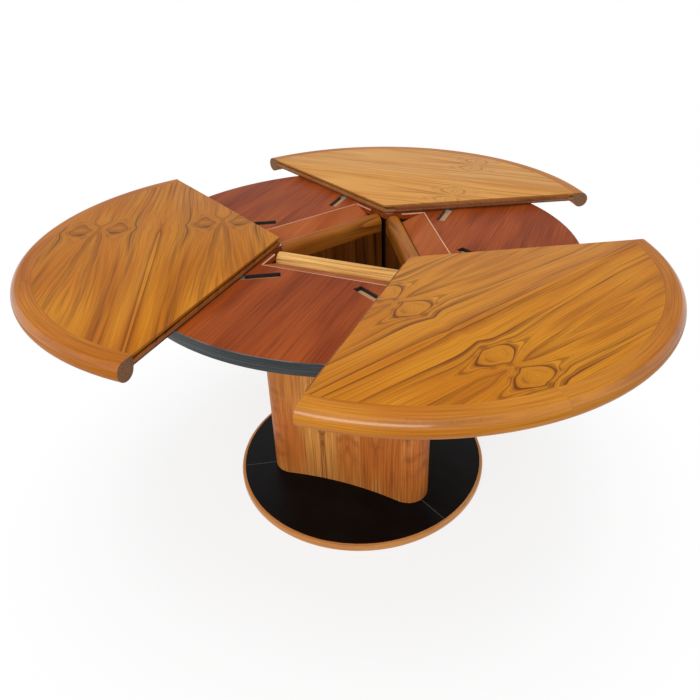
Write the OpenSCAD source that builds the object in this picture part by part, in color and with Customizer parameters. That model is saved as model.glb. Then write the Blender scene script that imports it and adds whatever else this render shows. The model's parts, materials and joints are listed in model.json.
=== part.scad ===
// Round extending dining table: three sectors slide apart on a fixed board, and three leaves
// stand in the triangular column. +Z is up, the origin is on the floor on the column's axis.
// Pieces are drawn in a frame turned to their own direction: x radial, y counterclockwise.

/* [Table] */
// Diameter of the closed top
top_d = 1200; // [1000:10:1400]
// Height of the top from the floor
table_h = 750; // [735:5:800]
// How far each sector slides out
travel = 195; // [160:5:215]

/* [Sectors] */
// Thickness of the sector and leaf panels
plate_t = 22; // [18:1:25]
// Diameter of the round rim
rim_d = 42; // [34:1:50]
// Width of the rim seen from above
rim_w = 45; // [36:1:60]
// Gap between two closed sectors
joint_gap = 0.5; // [0.2:0.1:1.5]
// Depth of the groove's middle below the top face
groove_drop = 9; // [7:0.5:12]
// Width of the groove
groove_w = 6.5; // [5:0.5:8]
// Depth of the groove into the edge
groove_depth = 7.5; // [5:0.5:10]
// Play between tongue and groove, in thickness and depth
tongue_play = 0.5; // [0.3:0.1:1]
// Depth that a tongue is glued into its own panel
tongue_seat = 7; // [5:0.5:9]
// Distance from the tip of a sector or leaf to the start of its tongue
tongue_start = 30; // [20:1:60]
// Distance of a tongue's outer end from the rim
tongue_end = 15; // [5:1:40]
// Height of the gap between the sectors and the fixed board
slide_gap = 2; // [1.5:0.1:4]

/* [Leaves] */
// How much narrower a leaf is than the open gap
leaf_slack = 16; // [14:0.5:30]
// Distance of a stored leaf's face from the axis
leaf_inner = 100; // [85:1:110]
// How far a stored leaf's top lies below the fixed board's face
leaf_drop = 5; // [2:0.5:10]
// Play beside and behind a stored leaf's ends
leaf_play = 3; // [2:0.5:5]
// Width of the rest that a stored leaf's point stands in
rest_w = 130; // [80:5:200]
// Thickness of a rest under the leaf's point
rest_t = 4.5; // [3:0.5:20]
// How far a rest stands out past the leaf's face
rest_lip = 2; // [0.5:0.5:5]

/* [Fixed board] */
// Play between the fixed board and the sector rims
board_play = 2; // [1:0.5:6]
// Thickness of the upper board
upper_t = 15; // [12:0.5:20]
// Thickness of the lower board
lower_t = 14; // [10:0.5:20]
// Thickness of the black edge band
band_t = 2; // [1:0.5:4]
// Reach of a finger recess past the stored leaf's rim
recess_reach = 62; // [35:1:66]
// Distance from a leaf's end to the end wall of its recess
recess_inset = 3; // [2:1:60]
// Thickness left of the lower board under a recess's low edge
recess_skin = 5; // [3:0.5:9]
// Width and depth of the pale inlay around a recess
inlay_w = 2.5; // [1.5:0.5:5]
// Length of a corner bracket from the board's corner
bracket_l = 26; // [22:1:30]
// Width of a corner bracket
bracket_w = 30; // [20:1:40]
// Thickness of a corner bracket
bracket_t = 2; // [1:0.5:3]
// Distance of a bracket's screw from the board's corner
bracket_hole_in = 18; // [16:1:20]
// Diameter of the screws' shanks
screw_d = 4.5; // [3:0.5:6]
// Depth of the screws in the upper board
screw_bite = 9; // [6:0.5:12]
// Diameter of the board screws' heads
screw_head_d = 9; // [7:0.5:12]
// Height of the board screws' heads
screw_head_t = 3; // [2:0.5:4]
// Radius of the circle of board screws
screw_circle = 310; // [285:5:400]
// Angle of a board screw from its sector's middle line
screw_angle = 15; // [8:1:18]

/* [Guides] */
// Distance of a guide slot's middle from the sector's middle line
track_y = 160; // [155:1:175]
// Distance of the slot's inner end from the axis
slot_in = 200; // [188:1:210]
// Width of a slot in the board
slot_w = 24; // [18:1:26]
// Depth of a slot in the board
slot_depth = 10; // [8:0.5:12]
// Thickness of the black slot liners
liner_t = 1.5; // [1:0.1:2]
// How far a liner's upper edge lies below the board's face
liner_drop = 1; // [0.5:0.5:5]
// Play between a runner and its slot
runner_play = 0.5; // [0.3:0.1:1]
// Distance that a runner travels with its sector
runner_travel = 79; // [60:1:97]
// Thickness of a runner bar
bar_t = 4; // [3:0.5:5]
// Length of the steel block at a runner's inner end
block_l = 16; // [12:1:22]
// How far a steel block's top lies below the board's face
block_drop = 1; // [0.5:0.5:5]
// Diameter of a guide pin
pin_d = 7; // [5:0.5:8]
// Distance of a guide pin from its sector's outer edge, along the middle line
pin_inset = 310; // [300:1:320]
// Diameter of the pins' flanges
flange_d = 28; // [16:1:30]
// Diameter of the glide pads under the sectors
glide_d = 28; // [16:1:40]
// Distance of the inner glides from their sector's tip
inner_glide_x = 228; // [220:1:260]
// Distance of the inner glides from the sector's middle line
inner_glide_y = 54; // [20:1:60]
// Distance of the outer glides from the sector's outer edge
outer_glide_inset = 300; // [280:5:340]
// Distance of the outer glides from the sector's middle line
outer_glide_y = 198; // [190:1:205]

/* [Column] */
// Wall thickness of a column panel
wall_t = 16; // [12:1:20]
// Play behind a stored leaf at the middle of its panel
back_play = 6; // [4:1:12]
// Depth of the hollow in each column face
hollow = 16; // [8:1:24]
// Thickness of the wood behind the leaf ends at a corner
corner_back = 10; // [6:1:20]
// Overlap of a corner post on a leaf's end
post_lap = 20; // [12:1:30]
// Depth of the black leaf guide on a post's nose
guide_depth = 13; // [8:1:16]
// Thickness of the board on top of the column
head_t = 20; // [14:1:26]
// How far that board stands out past the column
head_over = 10; // [4:1:20]
// Diameter of the tie rods
rod_d = 8; // [6:1:12]
// Distance of the tie rods from the axis
rod_r = 230; // [226:1:240]
// Diameter of the tie rods' heads and nuts
rod_head_d = 20; // [14:1:24]
// Height of the tie rods' heads and nuts
rod_head_t = 6; // [4:0.5:8]

/* [Base] */
// Diameter of the base
base_d = 730; // [660:10:900]
// Thickness of the base board with its black top
base_t = 20; // [18:1:22]
// Thickness of the black laminate
laminate_t = 1.2; // [0.8:0.1:2]
// Width of the wooden edge of the base
edge_w = 9; // [6:1:20]
// Rounding of the edge's outer corners
edge_round = 5; // [2:0.5:6]
// Width of the inlaid seam strips
seam_w = 1.6; // [1:0.2:4]
// Thickness of the felt under the base
felt_t = 3; // [2:0.5:4]
// How far the felt stays back from the base's edge
felt_inset = 30; // [15:1:60]
// Diameter of the steel ballast plate
ballast_d = 380; // [200:10:400]
// Thickness of the steel ballast plate
ballast_t = 8; // [4:1:9]

/* [Hidden] */
$fn = 96;

// Directions of the sectors and column corners, and of the gaps, leaves and column faces
third_angle = 360 / 3;
angle_back = 90;
angle_left = angle_back + third_angle;
angle_right = angle_left + third_angle;
angle_gap_front = angle_back + 180;
angle_gap_right = angle_gap_front + third_angle;
angle_gap_left = angle_gap_right + third_angle;
corners = [angle_left, angle_right, angle_back];
gaps = [angle_gap_front, angle_gap_right, angle_gap_left];
half_angle = 60;
sides = [-1, 1];
eps = 0.01;
seat_gap = 0.3;

// Levels from the floor up
z_felt = felt_t;
z_base = felt_t + base_t;
z_laminate = z_base - laminate_t;
z_face = table_h - plate_t - slide_gap;
z_slot = z_face - slot_depth;
z_lower_top = z_face - upper_t;
z_lower = z_lower_top - lower_t;
z_recess = z_lower + recess_skin;
z_head = z_lower - head_t;

// Sectors
top_r = top_d / 2;
rim_r = rim_d / 2;
panel_r = top_r - rim_w;
tongue_t = groove_w - tongue_play;
tongue_out = groove_depth - 3 * tongue_play;
wedge_shift = joint_gap / 2 / sin(half_angle);

// Leaves
gap_w = 2 * travel * sin(half_angle);
leaf_w = gap_w - leaf_slack;
leaf_tip = leaf_w / 2 / tan(half_angle);
leaf_l = top_r + leaf_tip;
leaf_bottom = z_face - leaf_drop - leaf_l;
leaf_end_tongue = leaf_w / 2 + tongue_out;
leaf_back = leaf_inner + plate_t;

// Well in the boards and pockets in the posts
well_low = -leaf_end_tongue - leaf_play;
well_high = leaf_w / 2 + leaf_play;
well_out = leaf_inner + rim_d + leaf_play;
pocket_out = leaf_back + leaf_play;
recess_out = well_out + recess_reach;
recess_half = leaf_w / 2 - recess_inset;
nose_x = (well_high - well_low) / 2 / sin(half_angle);

// Fixed board
band_r = top_r - rim_d - board_play;
board_r = band_r - band_t;
bracket_hole = nose_x + bracket_hole_in;

// Guides
slot_clear = slot_w - 2 * liner_t;
bar_w = slot_clear - 2 * runner_play;
stop_gap = 2;
runner_in = slot_in + liner_t + runner_play + runner_travel;
pin_x = travel + top_r - pin_inset;
pin_play = 0.3;
bar_slot_from = top_r - pin_inset - (runner_in - runner_travel) - pin_d;
bar_slot_to = pin_x - runner_in + pin_d;
bar_l = bar_slot_to + pin_d;
slot_out = runner_in + bar_l + stop_gap + liner_t;
bar_z = z_slot + seat_gap;
block_top = z_face - block_drop;

// Column outline: round corners, and a hollow arc that is tangent to them on each face
corner_c = -well_low / sin(half_angle) + corner_back;
face_mid = leaf_back + back_play + wall_t;
corner_x = corner_c * cos(half_angle);
corner_y = corner_c * sin(half_angle);
corner_r = face_mid - corner_x + hollow;
face_r = (pow(face_mid - corner_x, 2) + pow(corner_y, 2) - pow(corner_r, 2)) / (2 * hollow);
panel_half = -well_low - post_lap;

// Base
base_r = base_d / 2;
laminate_r = base_r - edge_w;
rod_clear = 0.3;
rod_head_r = rod_head_d / 2;

module at(a) rotate([0, 0, a]) children();

module slab(z0, z1) translate([0, 0, z0]) linear_extrude(z1 - z0) children();

module box(x0, x1, y0, y1, z0, z1) translate([x0, y0, z0]) cube([x1 - x0, y1 - y0, z1 - z0]);

module rect(x0, x1, y0, y1) translate([x0, y0]) square([x1 - x0, y1 - y0]);

// Outline of a third of the plane with its tip at the origin, shifted out by half the joint gap
module wedge_2d(shift) {
    reach = 4 * top_r;
    polygon([[shift, 0], [shift + reach * cos(half_angle), reach * sin(half_angle)],
             [shift + reach * cos(half_angle), -reach * sin(half_angle)]]);
}

// Plan of the well that holds the three stored leaves, out to a given distance
module well_2d(out) {
    for (a = gaps) at(a) rect(0, out, well_low, well_high);
}

module recess_2d(grow) {
    for (a = gaps) at(a) rect(0, recess_out + grow, -recess_half - grow, recess_half + grow);
}

module slot_2d(side, inset) {
    y = side * track_y;
    half = slot_w / 2 - inset;
    rect(slot_in + inset, slot_out - inset, y - half, y + half);
}

// Plan of the column, with a hollow arc on each face
module column_2d() {
    difference() {
        union() {
            polygon([for (a = gaps, s = sides)
                [(corner_x + corner_r) * cos(a) - s * corner_y * sin(a),
                 (corner_x + corner_r) * sin(a) + s * corner_y * cos(a)]]);
            for (a = corners) at(a) translate([corner_c, 0]) circle(corner_r);
        }
        for (a = gaps) at(a) translate([face_mid + face_r, 0]) circle(face_r, $fn = 360);
    }
}

module head_2d() {
    out = corner_x + corner_r + head_over;
    order = [angle_gap_right, angle_gap_left, angle_gap_front];
    polygon([for (a = order, s = sides)
        [out * cos(a) - s * corner_y * sin(a), out * sin(a) + s * corner_y * cos(a)]]);
    for (a = corners) at(a) translate([corner_c, 0]) circle(corner_r + head_over);
}

module guide_2d() {
    polygon([[nose_x, nose_y()], [nose_x + guide_depth, nose_y() + guide_depth * tan(half_angle)],
             [nose_x + guide_depth, nose_y() - guide_depth * tan(half_angle)]]);
}

// Sideways place of a post's nose, which is off the middle line because tongues are on one side
function nose_y() = (well_low + well_high) / 2 / cos(half_angle);

// Base

module base_felt() {
    color("#4a4744") slab(0, z_felt) circle(base_r - felt_inset);
}

module base_ballast() {
    color("#8b8f92") slab(z_felt, z_felt + ballast_t) circle(ballast_d / 2);
}

module base_board() {
    color("#9a7b55") difference() {
        slab(z_felt, z_laminate) circle(laminate_r);
        slab(z_felt - eps, z_felt + ballast_t + seat_gap) circle(ballast_d / 2 + seat_gap);
        for (a = corners) at(a) translate([rod_r, 0, 0]) {
            slab(z_felt - eps, z_base) circle(rod_d / 2 + rod_clear);
            slab(z_felt - eps, z_felt + rod_head_t + seat_gap) circle(rod_head_r + rod_clear);
        }
    }
}

module base_edge() {
    color("#b9793f") translate([0, 0, z_felt]) rotate_extrude() intersection() {
        rect(laminate_r, base_r, 0, base_t);
        union() {
            rect(laminate_r, base_r - edge_round, 0, base_t);
            rect(laminate_r, base_r, edge_round, base_t - edge_round);
            for (y = [edge_round, base_t - edge_round]) {
                translate([base_r - edge_round, y]) circle(edge_round);
            }
        }
    }
}

// One third of the black top, between two seams that run out from the column's corners
module base_top(a) {
    color("#15161a") difference() {
        slab(z_laminate, z_base) intersection() {
            circle(laminate_r);
            at(a) wedge_2d(seam_w / 2 / sin(half_angle));
        }
        for (c = corners) at(c) slab(z_laminate - eps, z_base + eps)
            translate([rod_r, 0]) circle(rod_d / 2 + rod_clear);
    }
}

module base_seams() {
    color("#c9c2b4") for (a = corners) at(a) {
        difference() {
            slab(z_laminate, z_base) intersection() {
                circle(laminate_r);
                rect(seam_w, laminate_r, -seam_w / 2, seam_w / 2);
            }
            slab(z_laminate - eps, z_base + eps) translate([rod_r, 0]) circle(rod_d / 2 + rod_clear);
        }
    }
}

// Column

module column_post(a) {
    color("#b8763c") difference() {
        slab(z_base, z_head) intersection() {
            column_2d();
            at(a) wedge_2d(0);
        }
        slab(z_base - eps, z_head + eps) {
            well_2d(pocket_out);
            for (g = gaps) at(g) rect(0, 2 * face_mid, -panel_half, panel_half);
            at(a) guide_2d();
        }
        at(a) slab(z_base - eps, z_head + eps) translate([rod_r, 0]) circle(rod_d / 2 + rod_clear);
    }
}

module column_panel(a) {
    color("#b06f38") at(a) slab(z_base, z_head) intersection() {
        rect(0, 2 * face_mid, -panel_half, panel_half);
        difference() {
            translate([face_mid + face_r, 0]) circle(face_r + wall_t, $fn = 360);
            translate([face_mid + face_r, 0]) circle(face_r, $fn = 360);
        }
    }
}

module leaf_guides() {
    color("#17181a") for (a = corners) at(a) slab(z_base, z_face - bracket_t) guide_2d();
}

// Block on the inner side of a column panel, with a V that a stored leaf's point stands in
module leaf_rest(a) {
    half = rest_w / 2;
    notch = leaf_bottom - seat_gap;
    side = notch + half / tan(half_angle);
    color("#8d6a45") at(a) difference() {
        translate([face_mid, 0, 0]) rotate([90, 0, -90])
            linear_extrude(face_mid - leaf_inner + rest_lip) polygon([
                [-half, notch - rest_t], [half, notch - rest_t], [half, side], [0, notch], [-half, side]]);
        slab(notch - rest_t - eps, side + eps) translate([face_mid + face_r, 0])
            circle(face_r + wall_t + seat_gap, $fn = 360);
    }
}

module column_head() {
    color("#8f5b33") difference() {
        slab(z_head, z_lower) head_2d();
        slab(z_head - eps, z_lower + eps) {
            well_2d(well_out);
            for (a = corners) at(a) guide_2d();
        }
        for (a = corners) at(a) translate([rod_r, 0, 0]) {
            slab(z_head - eps, z_lower + eps) circle(rod_d / 2 + rod_clear);
            slab(z_lower - rod_head_t - seat_gap, z_lower + eps) circle(rod_head_r + rod_clear);
        }
    }
}

module tie_rods() {
    color("#a7abae") for (a = corners) at(a) translate([rod_r, 0, 0]) {
        slab(z_felt, z_felt + rod_head_t) circle(rod_head_r);
        slab(z_felt + rod_head_t, z_lower - seat_gap) circle(rod_d / 2);
    }
}

module tie_nuts() {
    color("#a7abae") for (a = corners) at(a) translate([rod_r, 0, 0]) difference() {
        slab(z_lower - rod_head_t - seat_gap, z_lower - seat_gap) circle(rod_head_r, $fn = 6);
        slab(z_head, z_lower) circle(rod_d / 2 + eps);
    }
}

// Fixed board

module lower_board() {
    color("#8a4328") difference() {
        slab(z_lower, z_lower_top) circle(board_r);
        slab(z_lower - eps, z_lower_top + eps) {
            well_2d(well_out);
            for (a = corners) at(a) guide_2d();
        }
        slab(z_recess, z_lower_top + eps) recess_2d(0);
        for (a = corners, s = sides) at(a + s * screw_angle) translate([screw_circle, 0, 0]) {
            slab(z_lower - eps, z_lower_top + eps) circle(screw_d / 2 + eps);
            slab(z_lower - eps, z_lower + screw_head_t) circle(screw_head_d / 2 + eps);
        }
    }
}

module upper_board() {
    color("#9c4a2c") difference() {
        slab(z_lower_top, z_face) circle(board_r);
        slab(z_lower_top - eps, z_face + eps) {
            well_2d(well_out);
            recess_2d(0);
        }
        slab(z_lower_top - eps, z_face - bracket_t) for (a = corners) at(a) guide_2d();
        for (a = corners, s = sides) at(a) slab(z_slot, z_face + eps) slot_2d(s, 0);
        slab(z_face - inlay_w, z_face + eps) recess_2d(inlay_w);
        for (a = corners) at(a) bracket_room();
        for (a = corners, s = sides) at(a + s * screw_angle) translate([screw_circle, 0, 0])
            slab(z_lower_top - eps, z_lower_top + screw_bite) circle(screw_d / 2 + eps);
    }
}

module edge_band() {
    color("#20262b") translate([0, 0, z_lower]) rotate_extrude()
        rect(board_r, band_r, 0, z_face - z_lower);
}

module recess_inlays() {
    color("#e0b892") difference() {
        slab(z_face - inlay_w, z_face) recess_2d(inlay_w);
        slab(z_face - inlay_w - eps, z_face + eps) {
            recess_2d(0);
            well_2d(well_out);
        }
    }
}

// Floors that slope from the board's face down to the stored leaves' rims
module recess_floors() {
    color("#a8532f") for (a = gaps) at(a) rotate([90, 0, 0])
        linear_extrude(2 * recess_half, center = true)
            polygon([[well_out, z_recess], [recess_out, z_recess], [recess_out, z_face]]);
}

module slot_liners() {
    color("#141516") for (a = corners, s = sides) at(a) difference() {
        slab(z_slot, z_face - liner_drop) slot_2d(s, 0);
        slab(z_slot - eps, z_face) slot_2d(s, liner_t);
    }
}

// Steel angle on the board's corner between two leaves
module bracket_2d() {
    intersection() {
        rect(0, nose_x + bracket_l, nose_y() - bracket_w / 2, nose_y() + bracket_w / 2);
        polygon([[nose_x, nose_y()], [2 * nose_x, nose_y() + nose_x * tan(half_angle)],
                 [2 * nose_x, nose_y() - nose_x * tan(half_angle)]]);
    }
}

module bracket_room() {
    slab(z_face - bracket_t, z_face + eps) bracket_2d();
    translate([bracket_hole, nose_y(), 0])
        slab(z_face - screw_bite, z_face) circle(screw_d / 2 + eps);
}

module corner_brackets() {
    color("#b9bdbf") for (a = corners) at(a) difference() {
        slab(z_face - bracket_t, z_face) bracket_2d();
        translate([bracket_hole, nose_y(), 0])
            slab(z_face - screw_bite, z_face + eps) circle(screw_d / 2 + eps);
    }
}

module bracket_screws() {
    color("#8f9396") for (a = corners) at(a) translate([bracket_hole, nose_y(), 0])
        slab(z_face - screw_bite, z_face) circle(screw_d / 2);
}

module board_screws() {
    color("#8f9396") for (a = corners, s = sides) at(a + s * screw_angle)
        translate([screw_circle, 0, 0]) {
            slab(z_lower, z_lower + screw_head_t) circle(screw_head_d / 2);
            slab(z_lower + screw_head_t, z_lower_top + screw_bite - eps) circle(screw_d / 2);
        }
}

// Guides

module runner_bars(a) {
    color("#9da1a4") at(a) for (s = sides) translate([runner_in, s * track_y, 0]) {
        difference() {
            slab(bar_z, bar_z + bar_t) rect(0, bar_l, -bar_w / 2, bar_w / 2);
            slab(bar_z - eps, bar_z + bar_t + eps) {
                rect(bar_slot_from, bar_slot_to, -pin_d / 2 - pin_play, pin_d / 2 + pin_play);
                for (x = [bar_slot_from, bar_slot_to]) translate([x, 0]) circle(pin_d / 2 + pin_play);
            }
        }
    }
}

module runner_blocks(a) {
    color("#c3c7c9") at(a) for (s = sides) translate([runner_in, s * track_y, 0])
        slab(bar_z + bar_t, block_top) rect(0, block_l, -bar_w / 2, bar_w / 2);
}

module guide_pins(a) {
    color("#b5b9bb") at(a) for (s = sides) translate([pin_x, s * track_y, 0]) {
        slab(z_face + seat_gap, z_face + slide_gap) circle(flange_d / 2);
        slab(bar_z + seat_gap, z_face + seat_gap) circle(pin_d / 2);
    }
}

module sector_glides(a) {
    color("#2b2a29") at(a) translate([travel, 0, 0]) for (s = sides) {
        translate([inner_glide_x, s * inner_glide_y, 0])
            slab(z_face + seat_gap, z_face + slide_gap) circle(glide_d / 2);
        translate([top_r - outer_glide_inset, s * outer_glide_y, 0])
            slab(z_face + seat_gap, z_face + slide_gap) circle(glide_d / 2);
    }
}

// Sectors: a veneered panel with a groove on its counterclockwise edge and a tongue on the other

module sector_panel(a) {
    z_groove = table_h - groove_drop;
    color("#c8823a") at(a) translate([travel, 0, 0]) difference() {
        slab(table_h - plate_t, table_h) intersection() {
            circle(panel_r, $fn = 180);
            wedge_2d(wedge_shift);
        }
        rotate([0, 0, half_angle])
            box(-groove_depth, top_r, -groove_depth - joint_gap / 2, joint_gap,
                z_groove - groove_w / 2, z_groove + groove_w / 2);
        rotate([0, 0, -half_angle])
            box(tongue_start, top_r, -joint_gap, tongue_seat + joint_gap / 2,
                z_groove - tongue_t / 2, z_groove + tongue_t / 2);
    }
}

module rim_profile(end, inner) {
    translate([end - rim_r, -rim_r]) circle(rim_r, $fn = 72);
    rect(inner, end - rim_r, -plate_t, 0);
}

module sector_rim(a) {
    color("#bd7534") at(a) translate([travel, 0, 0]) intersection() {
        translate([0, 0, table_h]) rotate_extrude($fn = 180) rim_profile(top_r, panel_r);
        slab(z_lower, table_h + eps) wedge_2d(wedge_shift);
    }
}

module sector_tongue(a) {
    z_groove = table_h - groove_drop;
    color("#a8743f") at(a) translate([travel, 0, 0]) rotate([0, 0, -half_angle])
        box(tongue_start, panel_r - tongue_end, -tongue_out, tongue_seat + joint_gap / 2,
            z_groove - tongue_t / 2, z_groove + tongue_t / 2);
}

// Leaves are drawn flat with the tip at the origin and the top face at z = 0, then stood up

module stored(a) at(a) translate([leaf_inner, 0, leaf_bottom]) rotate([0, -90, 0]) children();

module leaf_panel(a) {
    end = leaf_l - rim_w;
    color("#c58040") stored(a) difference() {
        slab(-plate_t, 0) polygon([[0, 0], [leaf_tip, -leaf_w / 2], [end, -leaf_w / 2],
                                   [end, leaf_w / 2], [leaf_tip, leaf_w / 2]]);
        box(leaf_tip - groove_depth, end + eps, leaf_w / 2 - groove_depth, leaf_w / 2 + eps,
            -groove_drop - groove_w / 2, -groove_drop + groove_w / 2);
        box(leaf_tip + tongue_start, end + eps, -leaf_w / 2 - eps, -leaf_w / 2 + tongue_seat,
            -groove_drop - tongue_t / 2, -groove_drop + tongue_t / 2);
    }
}

module leaf_rim(a) {
    color("#d9a062") stored(a) translate([0, leaf_w / 2, 0]) rotate([90, 0, 0])
        linear_extrude(leaf_w) rim_profile(leaf_l, leaf_l - rim_w);
}

module leaf_tongue(a) {
    color("#a8743f") stored(a)
        box(leaf_tip + tongue_start, leaf_l - rim_w - tongue_end,
            -leaf_w / 2 - tongue_out, -leaf_w / 2 + tongue_seat,
            -groove_drop - tongue_t / 2, -groove_drop + tongue_t / 2);
}

base_felt();
base_ballast();
base_board();
base_edge();
base_seams();
base_top(angle_gap_front);  // base_top_front
base_top(angle_gap_right);  // base_top_right
base_top(angle_gap_left);  // base_top_left
column_post(angle_left);  // column_post_left
column_post(angle_right);  // column_post_right
column_post(angle_back);  // column_post_back
column_panel(angle_gap_front);  // column_panel_front
column_panel(angle_gap_right);  // column_panel_right
column_panel(angle_gap_left);  // column_panel_left
leaf_guides();
leaf_rest(angle_gap_front);  // leaf_rest_front
leaf_rest(angle_gap_right);  // leaf_rest_right
leaf_rest(angle_gap_left);  // leaf_rest_left
column_head();
tie_rods();
tie_nuts();
lower_board();
upper_board();
edge_band();
recess_inlays();
recess_floors();
slot_liners();
corner_brackets();
bracket_screws();
board_screws();
runner_bars(angle_left);  // runner_bars_left
runner_bars(angle_right);  // runner_bars_right
runner_bars(angle_back);  // runner_bars_back
runner_blocks(angle_left);  // runner_blocks_left
runner_blocks(angle_right);  // runner_blocks_right
runner_blocks(angle_back);  // runner_blocks_back
sector_panel(angle_left);  // sector_panel_left
sector_panel(angle_right);  // sector_panel_right
sector_panel(angle_back);  // sector_panel_back
sector_rim(angle_left);  // sector_rim_left
sector_rim(angle_right);  // sector_rim_right
sector_rim(angle_back);  // sector_rim_back
sector_tongue(angle_left);  // sector_tongue_left
sector_tongue(angle_right);  // sector_tongue_right
sector_tongue(angle_back);  // sector_tongue_back
sector_glides(angle_left);  // sector_glides_left
sector_glides(angle_right);  // sector_glides_right
sector_glides(angle_back);  // sector_glides_back
guide_pins(angle_left);  // guide_pins_left
guide_pins(angle_right);  // guide_pins_right
guide_pins(angle_back);  // guide_pins_back
leaf_panel(angle_gap_front);  // leaf_panel_front
leaf_panel(angle_gap_right);  // leaf_panel_right
leaf_panel(angle_gap_left);  // leaf_panel_left
leaf_rim(angle_gap_front);  // leaf_rim_front
leaf_rim(angle_gap_right);  // leaf_rim_right
leaf_rim(angle_gap_left);  // leaf_rim_left
leaf_tongue(angle_gap_front);  // leaf_tongue_front
leaf_tongue(angle_gap_right);  // leaf_tongue_right
leaf_tongue(angle_gap_left);  // leaf_tongue_left
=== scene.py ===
"""Dresses the round extending dining table: veneered sectors, fixed board, stored leaves and base."""

import json
import logging
import math
from dataclasses import dataclass
from enum import Enum
from typing import Callable, Sequence

import bmesh
import bpy
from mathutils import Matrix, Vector

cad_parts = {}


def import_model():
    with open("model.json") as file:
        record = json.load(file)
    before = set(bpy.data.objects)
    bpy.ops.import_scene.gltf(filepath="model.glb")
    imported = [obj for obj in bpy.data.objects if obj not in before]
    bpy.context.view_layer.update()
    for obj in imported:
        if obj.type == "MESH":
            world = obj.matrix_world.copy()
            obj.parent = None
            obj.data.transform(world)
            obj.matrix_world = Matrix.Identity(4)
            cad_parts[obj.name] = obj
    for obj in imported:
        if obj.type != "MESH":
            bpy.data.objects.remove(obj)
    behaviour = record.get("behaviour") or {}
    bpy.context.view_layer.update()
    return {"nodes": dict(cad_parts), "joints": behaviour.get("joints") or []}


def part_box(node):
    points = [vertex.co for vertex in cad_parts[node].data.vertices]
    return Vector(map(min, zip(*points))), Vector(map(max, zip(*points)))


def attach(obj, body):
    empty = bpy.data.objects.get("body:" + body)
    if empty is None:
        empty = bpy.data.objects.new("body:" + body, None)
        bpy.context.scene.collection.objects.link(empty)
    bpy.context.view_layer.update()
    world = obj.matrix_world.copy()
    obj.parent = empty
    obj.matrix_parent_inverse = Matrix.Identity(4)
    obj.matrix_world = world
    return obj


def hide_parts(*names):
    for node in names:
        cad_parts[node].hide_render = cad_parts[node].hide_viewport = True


log = logging.getLogger("table")

MM = 0.001
HALF_SECTOR = math.radians(60)

Colour = tuple[float, float, float, float]
Point = tuple[float, float, float]
Path = Callable[[float, float, float], Point]
Range = tuple[float, float]
Loop = Sequence[bmesh.types.BMVert]
Material = bpy.types.Material
Mesh = bpy.types.Mesh
Socket = bpy.types.NodeSocket
Tree = bpy.types.NodeTree


class Direction(Enum):
    """A direction of the table, in degrees seen from above, with the front at 270."""

    @property
    def label(self) -> str:
        """The word for it in the names of nodes."""
        return self.name.lower()

    @property
    def turn(self) -> float:
        """The direction in radians."""
        return math.radians(self.value)


class Sector(Direction):
    """The three sliding sectors, by the direction that each slides out in."""

    LEFT = 210.0
    RIGHT = 330.0
    BACK = 90.0


class Gap(Direction):
    """The three gaps between sectors, with a stored leaf and a column face in each direction."""

    FRONT = 270.0
    RIGHT = 30.0
    LEFT = 150.0


def paint(red: int, green: int, blue: int) -> Colour:
    """Turns a colour as a screen shows it into the linear colour that a shader takes.

    Args:
        red: Red from 0 to 255.
        green: Green from 0 to 255.
        blue: Blue from 0 to 255.

    Returns:
        The linear colour with full alpha.
    """
    shares = [level / 255 for level in (red, green, blue)]
    linear = [share / 12.92 if share <= 0.04045 else ((share + 0.055) / 1.055) ** 2.4 for share in shares]
    return (*linear, 1.0)


def spot(turn: float, out: float, across: float, up: float) -> Point:
    """A point in world metres, from millimetres in a frame turned to one direction of the table.

    Args:
        turn: Direction of the frame in radians.
        out: Millimetres out from the table's axis.
        across: Millimetres counterclockwise from the frame's middle line.
        up: Millimetres from the floor.

    Returns:
        The point.
    """
    x = out * math.cos(turn) - across * math.sin(turn)
    y = out * math.sin(turn) + across * math.cos(turn)
    return x * MM, y * MM, up * MM


class Shaper:
    """Skins closed loops of points into the mesh of one piece."""

    sharp: float = math.radians(32)

    def __init__(self) -> None:
        """Starts with an empty form."""
        self.form = bmesh.new()

    def loop(self, points: Sequence[Point]) -> Loop:
        """Adds one closed loop of points, in world metres."""
        return [self.form.verts.new(point) for point in points]

    def skin(self, *loops: Loop) -> None:
        """Joins loops of the same length, each to the next one.

        Args:
            loops: The loops in their order.
        """
        for first, second in zip(loops, loops[1:]):
            for index in range(len(first)):
                after = (index + 1) % len(first)
                self.form.faces.new((first[index], first[after], second[after], second[index]))

    def cap(self, loop: Loop) -> bmesh.types.BMFace:
        """Closes a loop with one face."""
        return self.form.faces.new(loop)

    def web(self, outer: Loop, inner: Loop) -> None:
        """Fills the flat ground between an outer loop and a hole in it."""
        edges = [self.form.edges.get((vertex, loop[(index + 1) % len(loop)]))
                 for loop in (outer, inner) for index, vertex in enumerate(loop)]
        bmesh.ops.triangle_fill(self.form, edges=edges, use_beauty=True)

    def ease(self, edges: Sequence[bmesh.types.BMEdge], width: float) -> None:
        """Rounds edges off by a width in millimetres."""
        bmesh.ops.bevel(self.form, geom=list(edges), offset=width * MM, offset_type="OFFSET", segments=2,
                        profile=0.5, affect="EDGES", clamp_overlap=True)

    def mesh(self, name: str) -> Mesh:
        """Finishes the mesh, smooth but for its sharp edges.

        Args:
            name: The mesh's name.

        Returns:
            The mesh.
        """
        bmesh.ops.recalc_face_normals(self.form, faces=self.form.faces)
        mesh = bpy.data.meshes.new(name)
        self.form.to_mesh(mesh)
        self.form.free()
        mesh.shade_smooth()
        mesh.set_sharp_from_angle(angle=self.sharp)
        return mesh


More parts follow.
